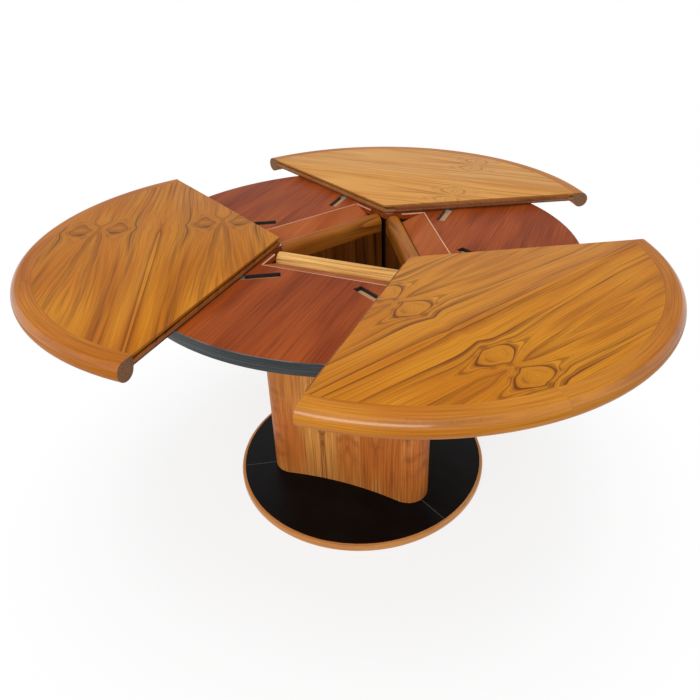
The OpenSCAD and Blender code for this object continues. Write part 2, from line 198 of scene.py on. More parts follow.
@dataclass(frozen=True)
class SectorArc:
    """The path of a sector's rim: an arc that stops at the sector's two straight edges."""

    turn: float
    centre: float
    half: float
    gap: float

    def __call__(self, share: float, reach: float, height: float) -> Point:
        """The point at a share of the way along, for one reach and height of the profile."""
        angle = (2 * share - 1) * (self.half - math.asin(self.gap / 2 / reach))
        return spot(self.turn, self.centre + reach * math.cos(angle), reach * math.sin(angle), height)


@dataclass(frozen=True)
class FullRing:
    """The path of a ring about the table's axis."""

    def __call__(self, share: float, reach: float, height: float) -> Point:
        """The point at a share of the way round, for one reach and height of the profile."""
        return spot(share * math.tau, reach, 0.0, height)


@dataclass(frozen=True)
class LeafLine:
    """The straight path of a stored leaf's rim."""

    turn: float
    half: float

    def __call__(self, share: float, reach: float, height: float) -> Point:
        """The point at a share of the way along, for one reach and height of the profile."""
        return spot(self.turn, reach, (2 * share - 1) * self.half, height)


@dataclass(frozen=True)
class Moulding:
    """A closed profile, as reach and height in millimetres, that is run along a path."""

    profile: tuple[tuple[float, float], ...]

    @classmethod
    def bullnose(cls, end: float, inner: float, top: float, width: float, plate: float,
                 upright: bool = False, count: int = 40) -> "Moulding":
        """The round rim with the flat strip that joins it to its panel.

        Args:
            end: Where the round edge ends.
            inner: Where the strip meets the panel.
            top: The panel's face.
            width: Diameter of the round edge.
            plate: Thickness of the strip.
            upright: Whether the panel stands, so that end and inner are heights and its face looks inward.
            count: Number of steps round the edge.

        Returns:
            The profile.
        """
        radius = width / 2
        last = -math.pi + math.asin((plate - radius) / radius)
        points = [(inner, top)]
        for step in range(count + 1):
            angle = math.pi / 2 + (last - math.pi / 2) * step / count
            points.append((end - radius + radius * math.cos(angle), top - radius + radius * math.sin(angle)))
        points.append((inner, top - plate))
        if upright:
            points = [(2 * top - y, x) for x, y in points]
        return cls(tuple(points))

    @classmethod
    def edging(cls, inner: float, outer: float, low: float, high: float, eased: float,
               count: int = 6) -> "Moulding":
        """A strip on a round edge, with its two outer edges rounded off.

        Args:
            inner: Radius of the strip's inner face.
            outer: Radius of its outer face.
            low: Height of its lower side.
            high: Height of its upper side.
            eased: Radius of the rounded edges.
            count: Number of steps round each edge.

        Returns:
            The profile.
        """
        points = [(inner, low)]
        for middle, start in ((low + eased, -math.pi / 2), (high - eased, 0.0)):
            for step in range(count + 1):
                angle = start + math.pi / 2 * step / count
                points.append((outer - eased + eased * math.cos(angle), middle + eased * math.sin(angle)))
        points.append((inner, high))
        return cls(tuple(points))

    def run(self, name: str, path: Path, steps: int, closed: bool = False, ease: float = 0.0) -> Mesh:
        """Runs the profile along a path.

        Args:
            name: The mesh's name.
            path: Gives a point for a share of the way, a reach and a height.
            steps: Number of steps along the path.
            closed: Whether the path comes back to its start.
            ease: How far the edges of the two ends are rounded off, in millimetres.

        Returns:
            The mesh.
        """
        shaper = Shaper()
        stations = steps if closed else steps + 1
        loops = [shaper.loop([path(step / steps, reach, height) for reach, height in self.profile])
                 for step in range(stations)]
        shaper.skin(*loops)
        if closed:
            shaper.skin(loops[-1], loops[0])
        else:
            ends = [shaper.cap(loop) for loop in (loops[0], loops[-1])]
            if ease:
                shaper.ease([edge for face in ends for edge in face.edges], ease)
        return shaper.mesh(name)


class Wire:
    """A value in a node tree. Plain arithmetic on it places Math nodes."""

    def __init__(self, bench: "Bench", socket: Socket) -> None:
        """Holds the socket that puts the value out, and its bench."""
        self.bench = bench
        self.socket = socket

    def __add__(self, other: "Value") -> "Wire":
        """This value and another one."""
        return self.bench.math("ADD", self, other)

    def __sub__(self, other: "Value") -> "Wire":
        """This value less another one."""
        return self.bench.math("SUBTRACT", self, other)

    def __rsub__(self, other: float) -> "Wire":
        """A number less this value."""
        return self.bench.math("SUBTRACT", other, self)

    def __mul__(self, other: "Value") -> "Wire":
        """This value times another one."""
        return self.bench.math("MULTIPLY", self, other)

    def __truediv__(self, other: "Value") -> "Wire":
        """This value over another one."""
        return self.bench.math("DIVIDE", self, other)

    def __rtruediv__(self, other: float) -> "Wire":
        """A number over this value."""
        return self.bench.math("DIVIDE", other, self)

    def __pow__(self, power: "Value") -> "Wire":
        """This value to a power."""
        return self.bench.math("POWER", self, power)

    def __abs__(self) -> "Wire":
        """This value without its sign."""
        return self.bench.math("ABSOLUTE", self)


Value = float | Wire


class Bench:
    """Places shader nodes in one node tree and joins their sockets."""

    columns: int = 10
    spacing: tuple[int, int] = (190, -240)

    def __init__(self, tree: Tree) -> None:
        """Starts with no nodes placed in the tree."""
        self.tree = tree
        self.count = 0

    def add(self, kind: str, **settings: object) -> bpy.types.Node:
        """Places one node.

        Args:
            kind: Blender's name for the node's type.
            settings: Properties of the node and their values.

        Returns:
            The new node.
        """
        node = self.tree.nodes.new(kind)
        row, column = divmod(self.count, self.columns)
        node.location = (self.spacing[0] * column, self.spacing[1] * row)
        self.count += 1
        for name, value in settings.items():
            setattr(node, name, value)
        return node

    def feed(self, socket: Socket, value: object) -> None:
        """Links a socket to a wire or another socket, or sets its own value.

        Args:
            socket: The socket that takes the value.
            value: The value.
        """
        source = value.socket if isinstance(value, Wire) else value
        if isinstance(source, Socket):
            self.tree.links.new(source, socket)
        else:
            socket.default_value = source

    def wire(self, kind: str, feeds: dict[int | str, object], output: int | str = 0,
             **settings: object) -> Wire:
        """Places one node, feeds it and takes one of its outputs.

        Args:
            kind: Blender's name for the node's type.
            feeds: What feeds each input, by the input's name or number.
            output: The output's name or number.
            settings: Properties of the node and their values.

        Returns:
            The output.
        """
        node = self.add(kind, **settings)
        for key, value in feeds.items():
            self.feed(node.inputs[key], value)
        return Wire(self, node.outputs[output])

    def math(self, operation: str, *values: Value) -> Wire:
        """The result of a Math node on the given values."""
        return self.wire("ShaderNodeMath", dict(enumerate(values)), operation=operation)

    def vector(self, operation: str, *values: object) -> Wire:
        """The result of a Vector Math node, a single value for a length or a dot product."""
        output = "Value" if operation in ("LENGTH", "DOT_PRODUCT") else "Vector"
        return self.wire("ShaderNodeVectorMath", dict(enumerate(values)), output, operation=operation)

    def split(self, vector: object) -> list[Wire]:
        """The three values of a vector."""
        node = self.add("ShaderNodeSeparateXYZ")
        self.feed(node.inputs[0], vector)
        return [Wire(self, socket) for socket in node.outputs]

    def noise(self, x: Value, y: Value = 0.0, z: Value = 0.0, detail: float = 2.0) -> Wire:
        """Noise from 0 to 1 with cells one unit wide, and as many finer octaves as detail says."""
        point = self.wire("ShaderNodeCombineXYZ", {0: x, 1: y, 2: z})
        return self.wire("ShaderNodeTexNoise", {"Vector": point, "Scale": 1.0, "Detail": detail})

    def chance(self, value: Value) -> Wire:
        """A random number from 0 to 1 for each whole value."""
        return self.wire("ShaderNodeTexWhiteNoise", {"W": value}, "Value", noise_dimensions="1D")

    def span(self, value: Value, low: float, high: float, start: float = 0.0, end: float = 1.0) -> Wire:
        """Carries a value smoothly from the range low to high over to the range start to end."""
        feeds = dict(enumerate((value, low, high, start, end)))
        return self.wire("ShaderNodeMapRange", feeds, interpolation_type="SMOOTHSTEP")

    def blend(self, share: Value, first: object, second: object) -> Wire:
        """Mixes two colours, with a share of 0 for the first one."""
        return self.wire("ShaderNodeMix", {0: share, 6: first, 7: second}, 2, data_type="RGBA")

    def shown(self) -> Wire:
        """1 for rays from the camera and in reflections or glass, and 0 for those that only light.

        Returns:
            The mask.
        """
        rays = self.add("ShaderNodeLightPath").outputs
        reflected = self.math("MAXIMUM", rays["Is Glossy Ray"], rays["Is Transmission Ray"])
        return self.math("MAXIMUM", rays["Is Camera Ray"], reflected)

    def place(self, group: Tree, **values: object) -> dict[str, Wire]:
        """Places a node group with its own values.

        Args:
            group: The group.
            values: The group's named inputs and what feeds them.

        Returns:
            The placed group's outputs, by name.
        """
        node = self.add("ShaderNodeGroup", node_tree=group)
        for name, value in values.items():
            self.feed(node.inputs[name], value)
        return {socket.name: Wire(self, socket) for socket in node.outputs}


class Effect(Bench):
    """A shader node group in the making, with named inputs and outputs."""

    def __init__(self, name: str, takes: dict[str, float | None], gives: Sequence[str]) -> None:
        """Starts a group with its sockets.

        Args:
            name: The group's name.
            takes: Each input's name and its usual value, or None for a vector.
            gives: The names of the outputs, which are all values.
        """
        super().__init__(bpy.data.node_groups.new(name, "ShaderNodeTree"))
        for title, usual in takes.items():
            kind = "NodeSocketVector" if usual is None else "NodeSocketFloat"
            socket = self.tree.interface.new_socket(name=title, in_out="INPUT", socket_type=kind)
            if usual is not None:
                socket.default_value = usual
        for title in gives:
            self.tree.interface.new_socket(name=title, in_out="OUTPUT", socket_type="NodeSocketFloat")
        self.takes = [Wire(self, socket) for socket in self.add("NodeGroupInput").outputs if socket.name]
        self.end = self.add("NodeGroupOutput")

    def give(self, *values: Value) -> Tree:
        """Feeds the group's outputs in their order.

        Args:
            values: What feeds them.

        Returns:
            The finished group.
        """
        for socket, value in zip(self.end.inputs, values):
            self.feed(socket, value)
        return self.tree


class EffectShop:
    """Builds each shared effect once, as a shader node group with named inputs and outputs."""

    def __init__(self) -> None:
        """Builds all the groups."""
        self.plank_frame = self._plank_frame()
        self.arc_frame = self._arc_frame()
        self.knot_flow = self._knot_flow()
        self.timber_figure = self._timber_figure()
        self.fine_scratches = self._fine_scratches()

    @staticmethod
    def _plank_frame() -> Tree:
        """Millimetres out, across and up in a frame turned to one direction of the table.

        Returns:
            The group.
        """
        b = Effect("plank frame", {"Place": None, "Turn": 0.0}, ("Out", "Across", "Up"))
        place, turn = b.takes
        turned = b.wire("ShaderNodeVectorRotate", {"Vector": place, "Angle": turn * -1.0},
                        rotation_type="Z_AXIS")
        return b.give(*b.split(b.vector("MULTIPLY", turned, (1 / MM,) * 3)))

    @staticmethod
    def _arc_frame() -> Tree:
        """Millimetres from and along a round edge, about a centre on the frame's first axis.

        Returns:
            The group.
        """
        b = Effect("arc frame", {"Out": 0.0, "Across": 0.0, "Centre": 0.0, "Radius": 600.0},
                   ("From", "Along"))
        out, across, centre, radius = b.takes
        out = out - centre
        return b.give(b.math("SQRT", out * out + across * across), b.math("ARCTAN2", across, out) * radius)

    @staticmethod
    def _knot_flow() -> Tree:
        """Fans straight grain out past one knot, bends it round the knot and counts rings inside it.

        Returns:
            The group.
        """
        slow_cell, quick_cell, worn_cell = (75.0, 210.0), (34.0, 44.0), (26.0, 34.0)
        slow_sway, quick_sway, end_sway = 14.0, 11.0, 30.0
        fan_blunt, sway_reach, near_reach = 900.0, 5200.0, 3200.0
        point_power, point_fall = 1.45, -0.7
        line_reach, inner_pace = 24.0, 1.3
        inner_lines = ((0.52, 0.16, 0.75), (0.8, 0.1, 0.5))
        worn_range, end_range = (0.42, 0.68), (0.1, 0.5)
        b = Effect("knot flow",
                   {"Across": 0.0, "Along": 0.0, "KnotAcross": 38.0, "KnotAlong": 0.0, "Size": 29.0,
                    "Spread": 36.0, "Fan": 0.0032, "Strip": 152.5, "Stray": 1.0, "Seed": 0.0},
                   ("Across", "Depth", "Outline", "Near"))
        across, along, knot_across, knot_along, size, spread, fan, strip, stray, seed = b.takes
        slow, quick = ((b.noise(across / wide, along / long, seed, 0.0) - 0.5) * stray
                       for wide, long in (slow_cell, quick_cell))
        gone = along - knot_along
        past = b.math("SQRT", gone * gone + fan_blunt)
        spent = 1.0 - 1.0 / (past * fan + 1.0)
        bow = b.math("SINE", across * math.pi / strip) * (strip / math.pi)
        close = b.math("EXPONENT", gone * gone / -sway_reach)
        swayed = slow * slow_sway + quick * (close * quick_sway)
        side = swayed + (across - bow * spent) - knot_across
        bent = abs((quick * end_sway + gone) / spread)
        share = b.math("EXPONENT", bent ** point_power * point_fall)
        half = share * size
        field = side * side - half * half
        outside = b.math("SQRT", b.math("MAXIMUM", field, 0.0))
        inside = b.math("SQRT", b.math("MAXIMUM", field * -1.0, 0.0))
        line = b.span(outside + inside * inner_pace, 0.0, line_reach, 1.0, 0.0)
        for depth, width, strength in inner_lines:
            apart = abs(inside - size * depth) / (size * width)
            line = b.math("MAXIMUM", line, b.span(apart, 0.0, 1.0, strength, 0.0))
        worn = b.span(b.noise(across / worn_cell[0], along / worn_cell[1], seed, 1.0), *worn_range)
        near = b.math("EXPONENT", (side * side + gone * gone) / -near_reach)
        return b.give(b.math("SIGN", side) * outside, inside, line * worn * b.span(share, *end_range), near)

    @staticmethod
    def _timber_figure() -> Tree:
        """Growth rings, fibres, slow changes of tone, open pores and dark streaks of a piece of timber.

        Returns:
            The group.
        """
        bend_cell, fibre_cell, tone_cell, pore_cell = 70.0, (2.6, 150.0), (60.0, 340.0), (0.9, 9.0)
        knot_ring, late_fall, break_run, streak_cell, streak_run = 9.5, 7.0, 1.4, 0.9, 0.9
        ring_seed, tone_seed, streak_seed = 7.31, 4.7, 12.3
        chance_range, break_range = (0.2, 0.9), (0.3, 0.6)
        pore_range, streak_range = (0.6, 0.72), (0.56, 0.78)
        b = Effect("timber figure", {"Across": 0.0, "Depth": 0.0, "Along": 0.0, "Pitch": 16.0, "Waver": 1.4,
                                     "Length": 420.0, "Softness": 3.4, "Seed": 0.0},
                   ("Line", "Fibre", "Tone", "Pore", "Streak"))
        across, depth, along, pitch, waver, length, softness, seed = b.takes
        run = along / length
        bend = b.noise(across / bend_cell, run, seed, 1.0) - 0.5
        ring = across / pitch + bend * (waver * 2.0) + depth / knot_ring
        phase = b.math("FRACT", ring)
        late = b.math("MINIMUM", phase ** softness, (1.0 - phase) * late_fall)
        lot = b.math("FLOOR", ring) + seed
        strength = b.span(b.chance(lot), *chance_range)
        broken = b.span(b.noise(lot * ring_seed, run * break_run, 0.0, 1.0), *break_range)
        fibre = b.noise(across / fibre_cell[0], along / fibre_cell[1], depth, 4.0)
        tone = b.noise(across / tone_cell[0], along / tone_cell[1], seed + tone_seed, 1.0)
        dash = b.noise(across / pore_cell[0], along / pore_cell[1], seed, 1.0)
        band = b.noise(ring / streak_cell, run * streak_run, seed + streak_seed, 1.0)
        return b.give(late * strength * broken, fibre, tone, b.span(dash, *pore_range),
                      b.span(band, *streak_range))

    @staticmethod
    def _fine_scratches() -> Tree:
        """Hairline scratches and faint smudges on a hard flat surface.

        Returns:
            The group.
        """
        scratch_sets = ((0.31, 15.0), (-0.74, 21.0), (1.9, 27.0))
        warp_cell, kept_cell, smudge_cell, kept_range = 130.0, 42.0, (90.0, 70.0), (0.55, 0.66)
        warp_share, hair_half = 5.0, 0.02
        b = Effect("fine scratches", {"Place": None, "Seed": 0.0}, ("Scratch", "Smudge"))
        place, seed = b.takes
        x, y, z = b.split(place)
        x, y = x / MM, y / MM
        warp = b.noise(x / warp_cell, y / warp_cell, seed, 0.0) * warp_share
        hairs = []
        for slope, pitch in scratch_sets:
            ring = warp + (y * slope + x) / pitch
            hair = b.span(abs(b.math("FRACT", ring) - 0.5), 0.0, hair_half, 1.0, 0.0)
            hairs.append(hair * b.span(b.noise(x / kept_cell, y / kept_cell, slope, 1.0), *kept_range))
        scratch = b.math("MINIMUM", sum(hairs[1:], hairs[0]), 1.0)
        return b.give(scratch, b.noise(x / smudge_cell[0], y / smudge_cell[1], z + seed, 3.0))


class Blank:
    """A new material with a principled shader, its bench and the place of each point on the object."""

    inward_range: Range = (-0.4, -0.2)

    def __init__(self, name: str) -> None:
        """Makes the material.

        Args:
            name: The material's name.
        """
        self.material = bpy.data.materials.new(name)
        self.material.use_nodes = True
        self.material.node_tree.nodes.clear()
        self.bench = Bench(self.material.node_tree)
        self.shader = self.bench.add("ShaderNodeBsdfPrincipled")
        output = self.bench.add("ShaderNodeOutputMaterial")
        self.bench.feed(output.inputs["Surface"], self.shader.outputs[0])
        coordinates = self.bench.add("ShaderNodeTexCoord").outputs
        self.place = Wire(self.bench, coordinates["Object"])
        self.normal = Wire(self.bench, coordinates["Normal"])

    def rise(self) -> Wire:
        """How far the surface looks up, from -1 to 1."""
        return self.bench.split(self.normal)[2]

    def inward(self) -> Wire:
        """A mask of the faces that look at the table's axis."""
        level = self.bench.vector("NORMALIZE", self.bench.vector("MULTIPLY", self.place, (1.0, 1.0, 0.0)))
        facing = self.bench.vector("DOT_PRODUCT", level, self.normal)
        return self.bench.span(facing, *self.inward_range, 1.0, 0.0)

    def set(self, **values: float) -> None:
        """Sets the shader's own sockets, with underscores for the spaces in their names."""
        for name, value in values.items():
            self.shader.inputs[name.replace("_", " ")].default_value = value

    def feed(self, name: str, value: object) -> None:
        """Feeds one of the shader's sockets."""
        self.bench.feed(self.shader.inputs[name], value)

    def bump(self, height: Value, depth_mm: float) -> None:
        """Raises the surface by a height from 0 to 1 times a depth in millimetres."""
        self.feed("Normal", self.bench.wire("ShaderNodeBump", {"Distance": depth_mm * MM, "Height": height}))


@dataclass(frozen=True)
class Tones:
    """The colours of one timber, from its light ground to its darkest lines."""

    pale: Colour
    deep: Colour
    streak: Colour

    @classmethod
    def of(cls, *colours: tuple[int, int, int]) -> "Tones":
        """The tones from three colours as a screen shows them."""
        return cls(*(paint(*colour) for colour in colours))


TEAK = Tones.of((218, 143, 34), (199, 120, 20), (108, 50, 6))
DARK_TEAK = Tones.of((210, 134, 30), (190, 110, 14), (96, 44, 4))
# Back sector tones: partly the veneer's own paler tone and partly a painted reflection of the white
# surroundings, seen at a low angle.
BACK_TONE_AND_SHEEN_TEAK = Tones.of((232, 170, 94), (218, 150, 72), (138, 84, 36))
# Painted shade: the stored leaves' panels are darkened for the shade of the well they stand in, so they look
# too dark when lifted out.
SHADY_TEAK = Tones.of((128, 70, 22), (100, 51, 13), (44, 19, 6))
BROWN_TEAK = Tones.of((190, 120, 42), (162, 92, 26), (90, 44, 12))
COLUMN_TEAK = Tones.of((250, 173, 86), (213, 122, 51), (114, 46, 24))
LEAF_TEAK = Tones.of((248, 196, 118), (230, 168, 84), (108, 56, 20))
RIM_TEAK = Tones.of((208, 134, 42), (190, 110, 26), (112, 56, 14))
# Painted shade: darker tones for the left sector's rim, whose side gets less light.
SHADED_SIDE_RIM_TEAK = Tones.of((202, 124, 32), (183, 102, 20), (108, 52, 12))
BASE_TEAK = Tones.of((240, 176, 104), (222, 150, 80), (150, 92, 46))
END_GRAIN = Tones.of((150, 112, 82), (118, 80, 56), (80, 50, 30))
MAHOGANY = Tones.of((168, 79, 30), (142, 59, 19), (84, 32, 12))
RAMP_MAHOGANY = Tones.of((182, 100, 54), (162, 80, 35), (110, 48, 18))
BLACK_BAND = Tones.of((34, 38, 41), (24, 27, 29), (108, 115, 115))
PALE_INLAY = Tones.of((232, 196, 168), (216, 176, 146), (170, 120, 90))
GREY_SEAM = Tones.of((112, 114, 104), (92, 94, 86), (60, 60, 56))
PARTICLES = Tones.of((202, 174, 132), (184, 152, 108), (130, 98, 62))
HARDWOOD = Tones.of((184, 142, 96), (164, 120, 76), (110, 74, 42))
PLYWOOD = Tones.of((162, 106, 70), (140, 88, 54), (94, 54, 30))
# Painted shade: near black plywood for the stored leaves' tongues, which lie in shadow.
SHADED_PLYWOOD = Tones.of((52, 36, 26), (38, 26, 18), (22, 14, 10))
RAW_WOOD = paint(192, 146, 110)
# Painted shade: near black for the faces inside the well, which stand in shade.
WELL_SHADE = paint(26, 17, 13)


@dataclass(frozen=True)
class Lacquer:
    """How a surface is finished over its colour, with a coat only where it looks partly up."""

    rough: float = 0.42
    shine: float = 0.12
    grain_depth: float = 0.05
    coat: float = 0.0
    coat_rough: float = 0.14
    coat_from: Range = (0.3, 0.45)
    coat_to: Range = (0.85, 0.96)
    rough_sway: float = 0.14
    pore_relief: float = 0.6
    fibre_relief: float = 0.4

    def lay(self, blank: Blank, fibre: Wire, pore: Wire) -> None:
        """Gives a blank its gloss, its coat and the relief of its grain.

        Args:
            blank: The material.
            fibre: The timber's fibres, from 0 to 1.
            pore: Its open pores, from 0 to 1.
        """
        b = blank.bench
        blank.feed("Roughness", fibre * self.rough_sway + (self.rough - self.rough_sway / 2))
        blank.set(Specular_IOR_Level=self.shine)
        if self.coat:
            blank.set(Coat_Roughness=self.coat_rough)
            rise = blank.rise()
            turned = b.span(rise, *self.coat_from) * b.span(rise, *self.coat_to, 1.0, 0.0)
            blank.feed("Coat Weight", turned * self.coat)
        blank.bump(1.0 - (pore * self.pore_relief + fibre * self.fibre_relief), self.grain_depth)


@dataclass(frozen=True)
class Timber:
    """One timber finish: its tones, its figure and the lacquer over it."""

    name: str
    tones: Tones
    lacquer: Lacquer = Lacquer()
    pitch: float = 16.0
    waver: float = 1.4
    length: float = 420.0
    softness: float = 3.4
    line: float = 1.15
    fine_line: float = 0.5
    streak: float = 0.0
    fibre: float = 0.3
    pore: float = 0.12
    darkest: float = 0.96
    seed: float = 0.0
    finer: float = 3.7
    finer_waver: float = 2.6
    finer_seed: float = 31.0
    tone_range: Range = (0.3, 0.7)
    fibre_range: Range = (0.38, 0.66)

    def figure(self, shop: EffectShop, blank: Blank, across: Value, along: Value, depth: Value = 0.0,
               marks: Sequence[Value] = ()) -> Wire:
        """Lays the timber's figure on a blank and finishes its gloss and grain.

        Args:
            shop: The shared effects.
            blank: The material that takes the figure.
            across: Millimetres across the grain.
            along: Millimetres along the grain.
            depth: Millimetres into a knot.
            marks: More dark marks, from 0 to 1 each.

        Returns:
            The colour of the finished timber.
        """
        b = blank.bench
        sets = ((1.0, 1.0, 0.0), (self.finer, self.finer_waver, self.finer_seed))
        wide, fine = (
            b.place(shop.timber_figure, Across=across, Along=along, Depth=depth, Pitch=self.pitch / closer,
                    Waver=self.waver * wavier, Length=self.length, Softness=self.softness,
                    Seed=self.seed + later)
            for closer, wavier, later in sets)
        ground = b.blend(b.span(wide["Tone"], *self.tone_range), self.tones.pale, self.tones.deep)
        dark = wide["Line"] * self.line + fine["Line"] * self.fine_line + wide["Streak"] * self.streak
        dark = dark + b.span(wide["Fibre"], *self.fibre_range) * self.fibre + wide["Pore"] * self.pore
        self.lacquer.lay(blank, wide["Fibre"], wide["Pore"])
        return b.blend(b.math("MINIMUM", sum(marks, dark), self.darkest), ground, self.tones.streak)

    def sawn(self, b: Bench, colour: Value, left: Value, first: Value, second: Value) -> Wire:
        """Shows end grain where little of the piece is left beyond a point.

        Args:
            b: The material's bench.
            colour: The timber's colour along the grain.
            left: Millimetres from the point to the sawn end.
            first: Millimetres along one side of the end.
            second: Millimetres along its other side.

        Returns:
            The colour with its sawn ends.
        """
        first_cell, second_cell, ring_range, end_range = 3.2, 2.2, (0.35, 0.65), (0.4, 1.1)
        rings = b.noise(first / first_cell, second / second_cell, self.seed, 3.0)
        ends = b.blend(b.span(rings, *ring_range), END_GRAIN.pale, END_GRAIN.deep)
        return b.blend(b.span(left, *end_range, 1.0, 0.0), colour, ends)

    def straight(self, shop: EffectShop, turn: float, upright: bool = False, half: float = 0.0,
                 raw_below: float = 0.0, shaded_inward: bool = False) -> Material:
        """The timber with straight grain in one direction of the table.

        Args:
            shop: The shared effects.
            turn: Direction of the frame in radians, in which the grain runs out.
            upright: Whether the grain runs up instead.
            half: Half the piece's length along the grain in millimetres, or 0 to leave its ends.
            raw_below: Height in millimetres under which faces that look up are raw wood, or 0 for none.
            shaded_inward: Whether the faces that look at the table's axis get painted shade, near black, for
                the dark inside of the well.

        Returns:
            The material.
        """
        lean, raw_fade, up_range = 0.37, 0.5, (0.6, 0.8)
        blank = Blank(self.name)
        b = blank.bench
        frame = b.place(shop.plank_frame, Place=blank.place, Turn=turn)
        run, skew = (frame["Up"], frame["Out"]) if upright else (frame["Out"], frame["Up"])
        colour = self.figure(shop, blank, skew * lean + frame["Across"], run)
        if half:
            colour = self.sawn(b, colour, half - abs(run), frame["Across"], skew)
        if raw_below:
            low = b.span(frame["Up"], raw_below - raw_fade, raw_below, 1.0, 0.0)
            colour = b.blend(low * b.span(blank.rise(), *up_range), colour, RAW_WOOD)
        # Painted shade: faces that look at the table's axis are made near black, for the dark inside of the
        # well.
        if shaded_inward:
            colour = b.blend(blank.inward(), colour, WELL_SHADE)
        blank.feed("Base Color", colour)
        return blank.material

    def wrapped(self, shop: EffectShop, radius: float, flame: float, height: float) -> Material:
        """The timber with upright grain, wrapped round the table's axis like the veneer of a column.

        Args:
            shop: The shared effects.
            radius: Mean radius of the column in millimetres.
            flame: Distance from the middle of one flamed strip to the next, in millimetres.
            height: Height of the flames' middle in millimetres.

        Returns:
            The material.
        """
        size_share, size_range, size_seed, spread, stray = 0.17, (0.35, 0.6), 4.0, 85.0, 0.15
        lifts, strip_shift, outline = 120.0, 61.0, 0.35
        blank = Blank(self.name)
        b = blank.bench
        frame = b.place(shop.plank_frame, Place=blank.place, Turn=0.0)
        along = b.place(shop.arc_frame, Out=frame["Out"], Across=frame["Across"], Radius=radius)["Along"]
        strip = b.math("ROUND", along / flame)
        size = b.span(b.chance(strip + (self.seed + size_seed)), *size_range) * (size_share * flame)
        lift = b.chance(strip + self.seed) * lifts + (height - lifts / 2)
        flow = b.place(shop.knot_flow, Across=b.math("PINGPONG", along, flame / 2), Along=frame["Up"],
                       KnotAcross=0.0, KnotAlong=lift, Size=size, Spread=spread, Fan=0.0, Strip=flame / 2,
                       Stray=stray, Seed=self.seed)
        colour = self.figure(shop, blank, strip * strip_shift + flow["Across"], frame["Up"], flow["Depth"],
                             (flow["Outline"] * outline,))
        # Painted shade: the column's faces that look at the axis, inside the well, are made near black.
        blank.feed("Base Color", b.blend(blank.inward(), colour, WELL_SHADE))
        return blank.material

    def bent(self, shop: EffectShop, turn: float, centre: float, radius: float, tilt: float = 1.3,
             joints: Sequence[float] = (), half: float = 0.0, crest: float = 0.0) -> Material:
        """The timber as a solid rim whose grain follows its arc.

        Args:
            shop: The shared effects.
            turn: Direction of the arc's centre in radians.
            centre: Distance of the arc's centre from the table's axis in millimetres.
            radius: Radius of the arc in millimetres.
            tilt: How many millimetres of grain pass for each millimetre up.
            joints: Places along the arc, in millimetres, of glued butt joints.
            half: Half the angle in radians between the arc's sawn ends, or 0 for a full ring.
            crest: Height in millimetres above which the edge is paler in patches, partly wear and partly a
                painted highlight on the eased edge, or 0 for none.

        Returns:
            The material.
        """
        joint_w, joint_line, joint_shade, joint_shift = 1.0, 0.14, 0.03, 9.0
        worn_cell, worn_range, wear_and_highlight_fade, wear_and_highlight_share = 60.0, (0.35, 0.6), 0.6, 0.75
        blank = Blank(self.name)
        b = blank.bench
        frame = b.place(shop.plank_frame, Place=blank.place, Turn=turn)
        arc = b.place(shop.arc_frame, Out=frame["Out"], Across=frame["Across"], Centre=centre, Radius=radius)
        across = frame["Up"] * tilt + arc["From"]
        marks = []
        for joint in joints:
            past = b.math("GREATER_THAN", arc["Along"], joint)
            marks += [b.span(abs(arc["Along"] - joint), 0.0, joint_w, joint_line, 0.0), past * joint_shade]
            across = past * joint_shift + across
        colour = self.figure(shop, blank, across, arc["Along"], marks=marks)
        if half:
            left = (frame["Out"] - centre) * math.sin(half) - abs(frame["Across"]) * math.cos(half)
            colour = self.sawn(b, colour, left, arc["From"], frame["Up"])
        # Partly wear and partly a painted highlight: the top of the edge turns to the pale streak colour in
        # patches.
        if crest:
            patchy = b.span(b.noise(arc["Along"] / worn_cell), *worn_range)
            worn = b.span(frame["Up"], crest, crest + wear_and_highlight_fade) * patchy * wear_and_highlight_share
            colour = b.blend(worn, colour, self.tones.streak)
        blank.feed("Base Color", colour)
        return blank.material


